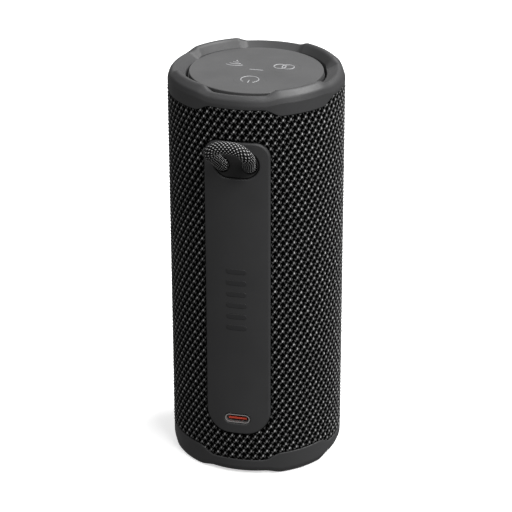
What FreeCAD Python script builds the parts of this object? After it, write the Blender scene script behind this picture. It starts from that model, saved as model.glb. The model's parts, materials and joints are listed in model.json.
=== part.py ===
"""A portable can-shaped speaker that stands on end and hangs from a cord loop.

The frame has +Z up the can's axis, the origin at the middle of its foot, -Y out of the rubber strip
that carries the loop and the charging port, and +Y out of the driver. Lengths are in millimetres.
Driving dimensions are cells of the sheet "dims"; an object's sizes are formulas of those cells.
"""

import FreeCAD, Part

import math
import os
import re
from types import SimpleNamespace

import Sketcher

V = FreeCAD.Vector
CELLS = [
    # the can, from outside in
    ("skin_radius", 30.9, "outside of the fabric"),
    ("skin_wall", 0.7, "fabric thickness"),
    ("grille_outer", 30.1, "outside of the frame under the fabric"),
    ("grille_inner", 28.4, "inside of that frame"),
    ("shell_outer", 28.2, "outside of the sealed enclosure"),
    ("shell_inner", 26.0, "inside of the sealed enclosure"),
    ("shell_low", 7.6, "lower rim of the enclosure"),
    ("shell_high", 138.4, "upper rim of the enclosure"),
    # the two rubber bumpers, mirror images but for the feet
    ("total_height", 145.9, "feet to the crest of the upper lobes"),
    ("bumper_radius", 30.7, "outer wall of a bumper"),
    ("bumper_hole", 23.75, "radius of the hole in a bumper"),
    ("skirt_inner", 28.5, "inside of a bumper's skirt"),
    ("deck_depth", 5.8, "crest of a lobe down to the bumper's underside"),
    ("lobe_skirt", 8.4, "crest down to the skirt's edge at a lobe"),
    ("bay_skirt", 6.0, "crest down to the skirt's edge between lobes"),
    # top panel
    ("disc_radius", 23.3, "rubber top disc"),
    ("disc_low", 141.9, "underside of the top disc"),
    ("disc_high", 143.4, "upper face of the top disc"),
    ("carrier_radius", 28.2, "hard ring that a bumper is pulled over"),
    ("carrier_step", 23.6, "raised middle of that ring"),
    ("carrier_floor", 19.0, "clear radius under that ring"),
    ("key_circle", 10.0, "circle of the three top keys"),
    ("key_radius", 5.6, "top key"),
    ("key_gap", 0.06, "running gap round a top key"),
    ("key_travel", 0.3, "travel of a top key"),
    ("key_thick", 1.15, "cap of a top key"),
    ("stem_radius", 1.7, "stem of a key"),
    ("stem_hole", 2.1, "hole for a key's stem"),
    ("control_board_radius", 18.5, "round board under the keys"),
    ("control_board_low", 136.0, "underside of that board"),
    ("board_thick", 1.2, "thickness of every board"),
    ("switch_width", 5.2, "side of a tact switch"),
    ("switch_height", 1.5, "height of a tact switch's case"),
    ("plunger_radius", 1.4, "plunger of a tact switch"),
    ("plunger_height", 0.6, "plunger above the case"),
    ("light_width", 4.8, "status light, along the strip's tangent"),
    ("light_depth", 0.7, "status light, across"),
    ("screw_circle", 21.3, "radius at which the end screws stand"),
    ("boss_radius", 2.6, "screw boss"),
    ("screw_radius", 1.0, "shank of an end screw"),
    ("screw_head", 2.0, "head radius of an end screw"),
    ("screw_head_height", 1.3, "head height of an end screw"),
    ("screw_length", 8.0, "shank length of an end screw"),
    # rubber strip, loop pocket and charging port
    ("strip_outer", 31.35, "outer face of the strip"),
    ("strip_inner", 30.15, "inner face of the strip"),
    ("strip_half", 11.45, "half width of the strip, as a chord"),
    ("strip_low", 17.0, "bottom end of the strip"),
    ("strip_high", 128.3, "top end of the strip"),
    ("strip_top_corner", 5.5, "corner radius at the strip's top"),
    ("strip_bottom_corner", 8.5, "corner radius at the strip's bottom"),
    ("pocket_half", 8.0, "half width of the loop pocket's mouth"),
    ("pocket_round", 5.1, "half height of that mouth, and its corner radius"),
    ("pocket_height", 120.3, "height of the pocket's middle"),
    ("pocket_wall", 1.2, "wall of the pocket"),
    ("pocket_back", 21.9, "radius of the pocket's back wall"),
    ("post_front", 30.65, "radius of the front face of the plate the loop goes behind"),
    ("post_back", 28.6, "radius of that plate's back face"),
    ("cord_radius", 2.1, "braided cord of the loop"),
    ("cord_gap", 0.45, "gap round the cord in the plate's holes"),
    ("port_height", 22.95, "height of the charging port"),
    ("port_half", 4.47, "half width of the port's metal shell"),
    ("port_round", 1.63, "half height of that shell"),
    ("port_wall", 0.3, "thickness of that shell"),
    ("port_mouth", 31.0, "radius at which the shell ends"),
    ("port_length", 9.5, "length of the shell"),
    # driver, firing along +Y
    ("baffle_front", 17.0, "front face of the flat baffle"),
    ("baffle_wall", 2.0, "thickness of the baffle"),
    ("driver_height", 58.0, "height of the driver's axis"),
    ("driver_core", 18.5, "half the straight side of every racetrack"),
    ("flange_round", 21.0, "half width of the driver's flange"),
    ("flange_thick", 1.4, "thickness of the flange"),
    ("basket_round", 17.6, "half width of the basket"),
    ("basket_wall", 1.2, "wall of the basket"),
    ("basket_back", 5.5, "Y of the basket's back face"),
    ("cone_round", 14.4, "half width of the cone at its rim"),
    ("coil_inner", 10.4, "inside of the voice coil's former"),
    ("yoke_radius", 14.5, "steel pot round the magnet"),
    ("yoke_back", -5.6, "Y of the pot's back"),
    # passive radiator in the foot, moving along Z
    ("radiator_radius", 14.2, "stiff plate of the radiator"),
    ("radiator_low", 4.6, "underside of that plate"),
    # battery, boards and front keys
    ("cell_radius", 9.25, "battery cell"),
    ("cell_length", 65.0, "length of the cell"),
    ("cell_low", 30.0, "bottom of the cell"),
    ("cell_axis", -16.0, "Y of the cell's axis"),
    ("main_board_low", 104.0, "underside of the main board"),
    ("bulkhead_low", 100.0, "underside of the wall between the air chamber and the boards"),
    ("volume_height", 117.0, "height midway between the two volume keys"),
    ("volume_pitch", 16.0, "spacing of the volume keys"),
    ("volume_span", 11.0, "length of a volume key's bars"),
    ("volume_bar", 3.4, "width of those bars"),
    ("volume_crest", 31.35, "radius of a volume key's face"),
    ("volume_gap", 0.15, "gap round a volume key"),
    ("volume_travel", 0.4, "travel of a volume key"),
    ("volume_board_face", 22.0, "Y of the volume board's outer face"),
]
END_ANGLES = (45, 135, 225, 315)
HALF_LOOP = [
    # corners of half the cord loop's centre line, from behind the post to its top: across, out, up
    (2.9, 24.9, 117.6),
    (4.7, 28.2, 118.9),
    (4.7, 32.6, 120.8),
    (6.0, 36.2, 124.5),
    (6.6, 42.3, 128.2),
    (3.5, 42.8, 131.0),
]
ARC_SHARE = 0.45

doc = FreeCAD.newDocument("can_speaker")
sheet = doc.addObject("Spreadsheet::Sheet", "dims")
for row, (alias, value, meaning) in enumerate(CELLS, 1):
    sheet.set(f"A{row}", str(value))
    sheet.setAlias(f"A{row}", alias)
    sheet.set(f"B{row}", meaning)
doc.recompute()
d = SimpleNamespace(**{alias: value for alias, value, _ in CELLS})
ALIASES = {alias for alias, _, _ in CELLS}
nodes = []


# ---------------------------------------------------------------- helpers
def formula(text):
    """The formula with every alias read from the sheet."""
    return re.sub(r"[a-z][a-z0-9_]*", lambda m: "dims." + m[0] if m[0] in ALIASES else m[0], str(text))


def bind(thing, **sizes):
    for name, text in sizes.items():
        thing.setExpression(name, formula(text))
    return thing


def place(thing, x=0, y=0, z=0, along="Z"):
    turn = {"Z": (V(0, 0, 1), 0), "Y": (V(1, 0, 0), -90), "X": (V(0, 1, 0), 90)}[along]
    thing.Placement = FreeCAD.Placement(V(0, 0, 0), FreeCAD.Rotation(*turn))
    for axis, text in (("x", x), ("y", y), ("z", z)):
        thing.setExpression("Placement.Base." + axis, formula(text))
    return thing


def cylinder(name, radius, height, x=0, y=0, z=0, along="Z"):
    made = bind(doc.addObject("Part::Cylinder", name), Radius=radius, Height=height)
    return place(made, x, y, z, along)


def box(name, wide, deep, tall, x=0, y=0, z=0):
    """A box centred on x, reaching from y along +Y and from z up."""
    made = bind(doc.addObject("Part::Box", name), Length=wide, Width=deep, Height=tall)
    return place(made, f"{x} - ({wide}) / 2", y, z)


def several(kind, name, parts):
    made = doc.addObject(kind, name)
    made.Shapes = parts
    return made


def fuse(name, *parts):
    return several("Part::MultiFuse", name, list(parts))


def common(name, *parts):
    return several("Part::MultiCommon", name, list(parts))


def cut(name, base, *tools):
    made = doc.addObject("Part::Cut", name)
    made.Base = base
    made.Tool = tools[0] if len(tools) == 1 else fuse(name + "_tools", *tools)
    return made


def group(name, parts):
    made = doc.addObject("Part::Compound", name)
    made.Links = parts
    return made


def tube(name, outer, inner, height, x=0, y=0, z=0, along="Z"):
    return cut(
        name,
        cylinder(name + "_outer", outer, height, x, y, z, along),
        cylinder(name + "_inner", inner, height, x, y, z, along),
    )


def racetrack(name, core, radius, length, y, z, tall=False):
    """A prism along +Y from y, with round ends: core is half its straight side, radius half its width."""
    wide, high = f"2 * ({core})", f"2 * ({radius})"
    if tall:
        wide, high = high, wide
    middle = box(name + "_middle", wide, length, high, 0, y, f"({z}) - ({high}) / 2")
    ends = []
    for side in (-1, 1):
        x, up = ("0", f"({z}) + {side} * ({core})") if tall else (f"{side} * ({core})", z)
        ends.append(cylinder(name + "_end", radius, length, x, y, up, "Y"))
    return fuse(name, middle, *ends)


def feature(name, shape):
    made = doc.addObject("Part::Feature", name)
    made.Shape = shape
    return made


def node(label, thing):
    """Names the object as a sub-part, so that it is written to a file of its own."""
    thing.Label = label
    nodes.append(thing)
    return thing


def origin_plane(body, role):
    return next(f for f in body.Origin.OriginFeatures if f.Role == role)


def outline(body, name, role, corners):
    """A closed sketch of straight lines, each corner held to its two formulas."""
    sketch = body.newObject("Sketcher::SketchObject", name)
    sketch.AttachmentSupport = [(origin_plane(body, role), "")]
    sketch.MapMode = "FlatFace"
    count = len(corners)
    turn = [2 * math.pi * k / count for k in range(count)]
    start = [V(20 + 9 * math.cos(a), 20 + 9 * math.sin(a), 0) for a in turn]
    for k in range(count):
        sketch.addGeometry(Part.LineSegment(start[k], start[(k + 1) % count]))
    for k in range(count):
        sketch.addConstraint(Sketcher.Constraint("Coincident", k, 2, (k + 1) % count, 1))
    for k, corner in enumerate(corners):
        for kind, text, now in (("DistanceX", corner[0], start[k].x), ("DistanceY", corner[1], start[k].y)):
            index = sketch.addConstraint(Sketcher.Constraint(kind, -1, 1, k, 1, now))
            sketch.setExpression(f"Constraints[{index}]", formula(text))
    return sketch


def turned(name, corners, y=0, z=0, along="Z"):
    """A body turned about its axis from corners of (radius, height)."""
    body = doc.addObject("PartDesign::Body", name)
    sketch = outline(body, name + "_profile", "XZ_Plane", corners)
    spin = body.newObject("PartDesign::Revolution", name + "_turned")
    spin.Profile = sketch
    spin.ReferenceAxis = (sketch, ["V_Axis"])
    spin.Angle = 360
    return place(body, 0, y, z, along)


def padded(name, corners, length, y=0, z=0):
    """A body padded along +Z from corners of (x, y)."""
    body = doc.addObject("PartDesign::Body", name)
    sketch = outline(body, name + "_profile", "XY_Plane", corners)
    pad = body.newObject("PartDesign::Pad", name + "_pad")
    pad.Profile = sketch
    bind(pad, Length=length)
    return place(body, 0, y, z)


def radial(name, corners, length, angle):
    """A prism padded outward from the can's axis, from corners of (across, height)."""
    body = doc.addObject("PartDesign::Body", name)
    sketch = outline(body, name + "_profile", "XZ_Plane", corners)
    pad = body.newObject("PartDesign::Pad", name + "_pad")
    pad.Profile = sketch
    bind(pad, Length=length)
    body.Placement = FreeCAD.Placement(V(0, 0, 0), FreeCAD.Rotation(V(0, 0, 1), angle))
    return body


def at(radius, angle):
    """Formulas for the x and y of a point at a radius and an angle about the can's axis."""
    return f"{radius} * cos({angle} deg)", f"{radius} * sin({angle} deg)"


def posts(name, radius, height, z, spots):
    return [cylinder(name, radius, height, x, y, z) for x, y in spots]


def racetrack_wire(core, radius, y):
    """A closed racetrack in a plane of constant y, round the driver's axis."""
    low, high = d.driver_height - core, d.driver_height + core
    corners = [V(radius, y, low), V(radius, y, high), V(-radius, y, high), V(-radius, y, low)]
    over = Part.Arc(corners[1], V(0, y, high + radius), corners[2]).toShape()
    under = Part.Arc(corners[3], V(0, y, low - radius), corners[0]).toShape()
    sides = [Part.makeLine(corners[0], corners[1]), over, Part.makeLine(corners[2], corners[3]), under]
    return Part.Wire(sides)


# ---------------------------------------------------------------- bumpers
LOBE_TOP = [
    # radius, depth below the crest: the outer facet, the crest and the slope down to the disc
    ("bumper_radius", "2.7"),
    ("28.7", "0.35"),
    ("27.7", "0"),
    ("26.3", "0"),
    ("24.1", "2.2"),
    ("bumper_hole", "2.6"),
]
BAY_TOP = [
    ("bumper_radius", "4.0"),
    ("30.4", "3.0"),
    ("29.7", "2.3"),
    ("28.6", "1.9"),
    ("27.6", "2.1"),
    ("24.5", "3.3"),
    ("bumper_hole", "3.6"),
]
LOBE_FOOT = [
    ("bumper_radius", "1.5"),
    ("30.4", "0.6"),
    ("29.7", "0"),
    ("26.3", "0"),
    ("24.1", "2.2"),
    ("bumper_hole", "2.6"),
]
BAY_FOOT = [
    ("bumper_radius", "2.4"),
    ("30.2", "1.3"),
    ("28.9", "0.7"),
    ("25.3", "0.7"),
    ("24.3", "2.2"),
    ("bumper_hole", "2.8"),
]


def lobe_prism(name, angle, grow, flip, z):
    """A lobe seen from outside: narrow at the crest, wide at the deck and narrow at the skirt's edge."""
    side = [("9.2", "1"), ("11.2", "-1.6"), ("14.4", "-bay_skirt"), ("8.0", "-lobe_skirt")]
    left = [(f"-({x} + {grow})", y) for x, y in reversed(side)]
    corners = [(f"{x} + {grow}", y) for x, y in side] + left
    corners[3] = (corners[3][0], f"-lobe_skirt - {grow}")
    corners[4] = (corners[4][0], f"-lobe_skirt - {grow}")
    made = radial(name, corners, 40, angle)
    turn = FreeCAD.Rotation(V(1, 0, 0), 180) if flip else FreeCAD.Rotation()
    made.Placement = FreeCAD.Placement(V(0, 0, 0), turn * made.Placement.Rotation)
    made.setExpression("Placement.Base.z", formula(z))
    return made


def bumper(label, lobe, bay, flip, z):
    """A ring with four lobes: its deck lies over the can's end and its skirt hangs lower at each lobe."""
    def ring(name, upper, skirt):
        inner = [("bumper_hole", "-deck_depth"), ("skirt_inner", "-deck_depth")]
        lower = inner + [("skirt_inner", "-" + skirt), ("bumper_radius", "-" + skirt)]
        made = turned(name, lower + [(r, f"-({depth})") for r, depth in upper])
        turn = FreeCAD.Rotation(V(1, 0, 0), 180 if flip else 0)
        made.Placement = FreeCAD.Placement(V(0, 0, 0), turn)
        made.setExpression("Placement.Base.z", formula(z))
        return made

    prisms = [lobe_prism(label + "_lobe", a, 0, flip, z) for a in END_ANGLES]
    high = ring(label + "_high", lobe, "lobe_skirt")
    lobes = common(label + "_lobes", high, group(label + "_four", prisms))
    node(label, fuse(label, ring(label + "_low", bay, "bay_skirt"), lobes))


def skirt_cutters(name, grow):
    """The lobes of both bumpers, grown by a gap, to trim whatever ends against the skirts."""
    made = [lobe_prism(name + "_upper", a, grow, False, "total_height") for a in END_ANGLES]
    return made + [lobe_prism(name + "_lower", a, grow, True, "0") for a in END_ANGLES]


def make_bumpers():
    bumper("top_bumper", LOBE_TOP, BAY_TOP, False, "total_height")
    bumper("bottom_bumper", LOBE_FOOT, BAY_FOOT, True, "0")


# ---------------------------------------------------------------- fabric, frame, strip
def strip_prism(name, grow, deep="14"):
    """The strip's outline as a prism along Y on the -Y side, grown by a gap on every side."""
    half, y = f"(strip_half + {grow})", "-34"
    low, high = f"(strip_low - {grow})", f"(strip_high + {grow})"
    above, below = f"(strip_top_corner + {grow})", f"(strip_bottom_corner + {grow})"
    straight = f"{high} - {above} - {low} - {below}"
    parts = [
        box(name + "_middle", f"2 * {half}", deep, straight, 0, y, f"{low} + {below}"),
        box(name + "_upper", f"2 * ({half} - {above})", deep, above, 0, y, f"{high} - {above}"),
        box(name + "_lower", f"2 * ({half} - {below})", deep, below, 0, y, low),
    ]
    for side in (-1, 1):
        for radius, z in ((above, f"{high} - {above}"), (below, f"{low} + {below}")):
            x = f"{side} * ({half} - {radius})"
            parts.append(cylinder(name + "_corner", radius, deep, x, y, z, "Y"))
    return fuse(name, *parts)


def pocket_prism(name, grow, y, deep):
    return racetrack(name, "pocket_half - pocket_round", f"pocket_round + {grow}", deep, y, "pocket_height")


def port_prism(name, grow, y, deep):
    return racetrack(name, "port_half - port_round", f"port_round + {grow}", deep, y, "port_height")


def volume_prism(name, sign, grow, y, deep):
    """A plus (sign 1) above or a minus (sign -1) below, as a prism along Y."""
    z = f"(volume_height + {sign} * volume_pitch / 2)"
    wide, bar = f"(volume_span + 2 * {grow})", f"(volume_bar + 2 * {grow})"
    across = box(name + "_across", wide, deep, bar, 0, y, f"{z} - {bar} / 2")
    if sign < 0:
        return across
    return fuse(name, across, box(name + "_up", bar, deep, wide, 0, y, f"{z} - {wide} / 2"))


def make_fabric():
    low, tall = "bay_skirt + 0.1", "total_height - 2 * bay_skirt - 0.2"
    body = tube("fabric_tube", "skin_radius", "skin_radius - skin_wall", tall, 0, 0, low)
    tools = skirt_cutters("fabric_trim", "0.1")
    tools.append(strip_prism("fabric_window", "0.05"))
    for sign in (1, -1):
        tools.append(volume_prism("fabric_key", sign, "volume_gap", "24", "10"))
    node("fabric_sleeve", cut("fabric_sleeve", body, *tools))


def make_grille_frame():
    low, tall = "bay_skirt + 0.15", "total_height - 2 * bay_skirt - 0.3"
    body = tube("frame_tube", "grille_outer", "grille_inner", tall, 0, 0, low)
    tools = skirt_cutters("frame_trim", "0.1")
    tools.append(pocket_prism("frame_pocket", "pocket_wall + 0.1", "-34", "10"))
    tools.append(port_prism("frame_port", "0.85", "-34", "10"))
    for sign in (1, -1):
        tools.append(volume_prism("frame_key", sign, "volume_gap", "24", "10"))
    slots = []
    for row in range(4):
        for angle in range(0, 360, 20):
            from_strip = abs((angle + 180) % 360 - 180)
            top_row_front = row == 3 and abs(angle - 180) < 30
            if from_strip >= 40 and not top_row_front:
                low, high = f"16 + {row} * 28.5", f"16 + {row} * 28.5 + 24"
                corners = [("-2.9", low), ("2.9", low), ("2.9", high), ("-2.9", high)]
                slots.append(radial("frame_slot", corners, 40, angle))
    tools.append(group("frame_slots", slots))
    node("grille_frame", cut("grille_frame", body, *tools))


def make_strip():
    skin = tube("strip_tube", "strip_outer", "strip_inner", "total_height")
    blank = common("strip_blank", skin, strip_prism("strip_outline", "0"))
    mouth = pocket_prism("strip_mouth", "0", "-34", "10")
    port = racetrack("strip_port", "2.7", "1.9", "10", "-34", "port_height")
    node("rear_strip", cut("rear_strip", blank, mouth, port))


def make_pocket():
    deep = "34 - pocket_back + pocket_wall"
    outside = pocket_prism("pocket_outer", "pocket_wall", "-34", deep)
    inside = pocket_prism("pocket_inner", "0", "-34", "34 - pocket_back")
    skin = cylinder("pocket_skin", "strip_inner - 0.1", "total_height")
    trimmed = common("pocket_trimmed", outside, skin)
    node("loop_pocket", cut("loop_pocket", trimmed, inside))


def make_post():
    """The post and its surround: a plate in the mouth with a slanted hole for each half of the loop."""
    skin = tube("post_skin", "post_front", "post_back", "total_height")
    plate = common("post_plate", skin, pocket_prism("post_outline", "-0.05", "-34", "10"))
    holes = []
    for side in (1, -1):
        inner, outer = [V(side * x, -out, up) for x, out, up in HALF_LOOP[1:3]]
        run = outer - inner
        hole = Part.makeCylinder(d.cord_radius + d.cord_gap, 3 * run.Length, inner - run, run)
        holes.append(feature("post_hole", hole))
    node("loop_post", cut("loop_post", plate, *holes))


def rounded_route(corners, first, last):
    """Straight runs through the corners joined by tangent arcs, from the first point to the last."""
    points = [first] + corners + [last]
    edges, radii = [], []
    here = first
    for before, corner, after in zip(points, points[1:], points[2:]):
        back, ahead = before - corner, after - corner
        turn = math.pi - back.getAngle(ahead)
        reach = ARC_SHARE * min(back.Length, ahead.Length)
        start = corner + back.normalize() * reach
        end = corner + ahead.normalize() * reach
        middle = (back + ahead).normalize()
        radius = reach / math.tan(turn / 2)
        crown = corner + middle * (radius / math.cos(turn / 2) - radius)
        edges += [Part.makeLine(here, start), Part.Arc(start, crown, end).toShape()]
        radii.append(round(radius, 1))
        here = end
    edges.append(Part.makeLine(here, last))
    return Part.Wire(edges), radii


def make_loop():
    """The cord loop: each half runs from behind the post, out of the pocket and up to the top."""
    halves = []
    for side in (1, -1):
        corners = [V(side * x, -out, up) for x, out, up in HALF_LOOP]
        first, last = V(0, corners[0].y, corners[0].z), V(0, corners[-1].y, corners[-1].z)
        route, radii = rounded_route(corners, first, last)
        section = Part.Wire(Part.makeCircle(d.cord_radius, first, V(1, 0, 0)))
        halves.append(route.makePipeShell([section], True, True))
        ratio = halves[-1].Volume / (math.pi * d.cord_radius**2 * route.Length)
        length = round(route.Length, 2)
        print("carry_loop half: arc radii", radii, "length", length, "fill", round(ratio, 4))
    node("carry_loop", feature("carry_loop", halves[0].fuse(halves[1])))


def make_port():
    shell = port_prism("port_outer", "0", "-port_mouth", "port_length")
    hollow = port_prism("port_inner", "-port_wall", "-port_mouth", "port_length - port_wall")
    node("usb_shell", cut("usb_shell", shell, hollow))
    node("usb_tongue", box("usb_tongue", "6.6", "7.5", "0.7", 0, "-port_mouth + 0.6", "port_height - 0.35"))
    under = "port_height - port_round - 0.05 - board_thick"
    board = box("usb_board_blank", "16", "14", "board_thick", 0, "-25.6", under)
    trim = cylinder("usb_board_trim", "shell_inner - 0.2", "total_height")
    node("usb_board", common("usb_board", board, trim))
    gasket = port_prism("gasket_outer", "0.75", "-29.6", "3.8")
    node("usb_gasket", cut("usb_gasket", gasket, port_prism("gasket_inner", "0.05", "-31", "8")))


# ---------------------------------------------------------------- top panel
KEYS = (("power", 270), ("wireless", 150), ("link", 30))


def light_slot(name, grow):
    """The status light's slot through the whole top, grown by a gap on every side."""
    wide, deep = f"light_width + 2 * {grow}", f"light_depth + 2 * {grow}"
    return box(name, wide, deep, "9", 0, f"-light_depth / 2 - {grow}", "disc_low - 6")


def make_top_disc():
    blank = cylinder("disc_blank", "disc_radius", "disc_high - disc_low", 0, 0, "disc_low")
    tools = []
    for name, angle in KEYS:
        x, y = at("key_circle", angle)
        tools.append(cylinder("disc_hole_" + name, "key_radius + key_gap", "9", x, y, "disc_low - 1"))
    tools.append(light_slot("disc_slot", "0.05"))
    node("top_disc", cut("top_disc", blank, *tools))


def make_power_icon(x, y, z):
    ring = tube("power_ring", "2.9", "2.2", "1", x, y, z)
    gap = box("power_gap", "2.2", "3.5", "3", x, f"({y}) - 3.5", f"{z} - 1")
    bar = box("power_bar", "0.7", "2.9", "1", x, f"({y}) - 3.5", z)
    return [cut("power_arc", ring, gap), bar]


def make_wireless_icon(x, y, z):
    """A dot under three widening arcs, opening away from the strip's side."""
    made = [cylinder("wireless_dot", "0.6", "1", x, f"({y}) + 2.8", z)]
    for radius in (2.2, 3.8, 5.4):
        arc = tube("wireless_ring", radius, f"{radius} - 0.7", "1", x, f"({y}) + 2.8", z)
        sector = cylinder("wireless_sector", "9", "1", x, f"({y}) + 2.8", z)
        bind(sector, Angle="70")
        sector.Placement.Rotation = FreeCAD.Rotation(V(0, 0, 1), 235)
        made.append(common("wireless_arc", arc, sector))
    return made


def make_link_icon(x, y, z):
    """Two interlocking rings."""
    return [tube("link_ring", "2.2", "1.5", "1", f"({x}) + {side} * 1.5", y, z) for side in (-1, 1)]


def make_top_keys():
    icons = {"power": make_power_icon, "wireless": make_wireless_icon, "link": make_link_icon}
    for name, angle in KEYS:
        x, y = at("key_circle", angle)
        cap = cylinder(name + "_cap", "key_radius", "key_thick", x, y, "disc_high - key_thick")
        tip = "control_board_low + board_thick + switch_height + plunger_height + key_travel + 0.02"
        stem = cylinder(name + "_stem", "stem_radius", f"disc_high - key_thick + 0.2 - ({tip})", x, y, tip)
        marks = icons[name](x, y, "disc_high - 0.3")
        label = "key_" + name
        node(label, cut(label, fuse(label + "_solid", cap, stem), *marks))


def ring_of_screws(label, z_head, up):
    """Four screws at the end of the can; up is +1 when their shanks point up, -1 when down."""
    made = []
    base = f"{z_head} + screw_head_height - 0.2" if up > 0 else f"{z_head} - screw_length"
    slot_low = z_head if up > 0 else f"{z_head} + screw_head_height - 0.5"
    for angle in END_ANGLES:
        x, y = at("screw_circle", angle)
        head = cylinder(label + "_head", "screw_head", "screw_head_height", x, y, z_head)
        shank = cylinder(label + "_shank", "screw_radius", "screw_length + 0.2", x, y, base)
        slot = box(label + "_slot", "2.4", "0.5", "0.5", x, f"({y}) - 0.25", slot_low)
        made.append(cut(label + "_screw", fuse(label + "_blank", head, shank), slot))
    node(label, group(label, made))


def carrier_tools(name, z, up):
    """Clearance for the end screws in a carrier: a pocket for each head and a hole for each shank."""
    tools = []
    pocket = f"{z} - 3" if up > 0 else f"{z} - screw_head_height - 0.1"
    deep = "screw_head_height + 3.1"
    for angle in END_ANGLES:
        x, y = at("screw_circle", angle)
        tools.append(cylinder(name + "_hole", "screw_radius + 0.1", "9", x, y, f"{z} - 4.5"))
        tools.append(cylinder(name + "_head", "screw_head + 0.1", deep, x, y, pocket))
    return tools


def make_top_carrier():
    low = "shell_high + 0.2"
    flange = cylinder("carrier_flange", "carrier_radius", "1.4", 0, 0, low)
    step = cylinder("carrier_middle", "carrier_step", f"disc_low - 0.1 - ({low})", 0, 0, low)
    hollow = cylinder("carrier_hollow", "carrier_floor", "4", 0, 0, "disc_low - 1.3 - 4")
    tools = carrier_tools("carrier", "disc_low - 0.1", -1)
    for name, angle in KEYS:
        x, y = at("key_circle", angle)
        tools.append(cylinder("carrier_" + name, "stem_hole", "9", x, y, "disc_low - 6"))
    tools.append(light_slot("carrier_slot", "0.15"))
    shell = cut("carrier_shell", fuse("carrier_blank", flange, step), hollow)
    peg_low = "control_board_low + board_thick + 0.05"
    spots = [at("15.5", a) for a in (90, 210, 330)]
    pegs = posts("carrier_peg", "1.8", f"disc_low - 0.6 - ({peg_low})", peg_low, spots)
    node("top_carrier", cut("top_carrier", fuse("carrier_pegged", shell, *pegs), *tools))
    ring_of_screws("top_screws", "(disc_low - 0.15 - screw_head_height)", -1)


def make_control_board():
    board = cylinder("control_blank", "control_board_radius", "board_thick", 0, 0, "control_board_low")
    chip = box("control_chip", "5", "4", "0.9", 0, "5.5", "control_board_low + board_thick - 0.01")
    plug = box("control_plug", "7", "3", "2.2", 0, "-2", "control_board_low - 2.19")
    node("control_board", fuse("control_board_full", board, chip, plug))
    parts = []
    face = "control_board_low + board_thick + 0.02"
    for name, angle in KEYS:
        x, y = at("key_circle", angle)
        side = "switch_width"
        case = box("tact_case", side, side, "switch_height", x, f"({y}) - {side} / 2", face)
        tip = f"{face} + switch_height - 0.12"
        plunger = cylinder("tact_plunger", "plunger_radius", "plunger_height + 0.1", x, y, tip)
        parts.append(fuse("tact_" + name, case, plunger))
    node("tact_switches", group("tact_switches", parts))
    node("status_led", box("status_led", "3", "1.4", "0.8", 0, "-0.7", face))
    low = f"{face} + 1"
    height = f"disc_high - 0.02 - ({low})"
    pipe = box("light_pipe", "light_width", "light_depth", height, 0, "-light_depth / 2", low)
    node("status_light_pipe", pipe)


# ---------------------------------------------------------------- enclosure
def enclosure_solid():
    """The sealed tube with its flat baffle, a bulkhead above the air chamber and an open top."""
    blank = cylinder("shell_blank", "shell_outer", "shell_high - shell_low", 0, 0, "shell_low")
    inside = "baffle_front - baffle_wall"
    flat = box("shell_flat", "70", "20", "122", 0, "baffle_front", "12")

    def chamber(name, low, high):
        return common(
            name,
            cylinder(name + "_round", "shell_inner", f"{high} - ({low})", 0, 0, low),
            box(name + "_keep", "70", f"35 + {inside}", f"{high} - ({low})", 0, "-35", low),
        )

    driver_hole = ("driver_core", "basket_round + 0.2", "9", "baffle_front - 5", "driver_height", True)
    tools = [
        flat,
        chamber("air_chamber", "shell_low + 2", "bulkhead_low"),
        chamber("board_chamber", "bulkhead_low + 2", "135.5"),
        cylinder("top_chamber", "shell_inner", "9", 0, 0, "135.4"),
        cylinder("radiator_hole", "radiator_radius + 1.0", "9", 0, 0, "shell_low - 4"),
        racetrack("driver_hole", *driver_hole),
        pocket_prism("shell_pocket", "pocket_wall + 0.1", "-34", "14"),
        port_prism("shell_port", "0.85", "-34", "14"),
    ]
    shell = cut("shell_hollow", blank, *tools)
    corners = [at("screw_circle", a) for a in END_ANGLES]
    lower = posts("boss_low", "boss_radius", "9", "shell_low + 1.5", corners)
    upper = posts("boss_high", "boss_radius", "9", "shell_high - 9", corners)
    floor, port_board = "shell_low + 1.5", "port_height - port_round - 0.1 - board_thick"
    feet = [("-6.3", "-18"), ("6.3", "-18")]
    stands = posts("port_stand", "1.5", f"{port_board} - ({floor})", floor, feet)
    wall, spots = "bulkhead_low + 1.5", [("-17", "-8"), ("17", "-8"), ("-15", "9"), ("15", "9")]
    rests = posts("board_stand", "1.8", f"main_board_low - 0.05 - ({wall})", wall, spots)
    face, reach = "baffle_front - 0.5", "volume_board_face - board_thick - 0.05 - baffle_front + 0.5"
    outward = []
    for z in ("volume_height - 14.2", "volume_height + 14.2"):
        outward.append(cylinder("volume_stand", "1.8", reach, 0, face, z, "Y"))
    full = fuse("shell_full", shell, *lower, *upper, *stands, *rests, *outward)
    holes = []
    for x, y in corners:
        holes.append(cylinder("thread_low", "screw_radius", "8.5", x, y, "shell_low - 1"))
        holes.append(cylinder("thread_high", "screw_radius", "8.5", x, y, "shell_high - 7.5"))
    return cut("shell_threaded", full, *holes)


def make_enclosure():
    whole = enclosure_solid()
    for label, deep, y in (("front", "35", "0.15"), ("rear", "35", "-35.15"), ("seal", "0.2", "-0.1")):
        side = box(label + "_side", "70", deep, "total_height", 0, y, 0)
        node("enclosure_" + label, common("enclosure_" + label, whole, side))


def make_foot_carrier():
    flange = cylinder("foot_flange", "carrier_radius", "1.4", 0, 0, "shell_low - 0.3 - 1.4")
    step = cylinder("foot_step", "carrier_step", "3.2", 0, 0, "shell_low - 0.3 - 3.2")
    hollow = cylinder("foot_hollow", "carrier_floor", "9", 0, 0, "0")
    tools = carrier_tools("foot", "shell_low - 0.3 - 3.2", 1)
    node("foot_carrier", cut("foot_carrier", fuse("foot_blank", flange, step), hollow, *tools))
    ring_of_screws("foot_screws", "(shell_low - 0.3 - 3.15)", 1)


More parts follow.
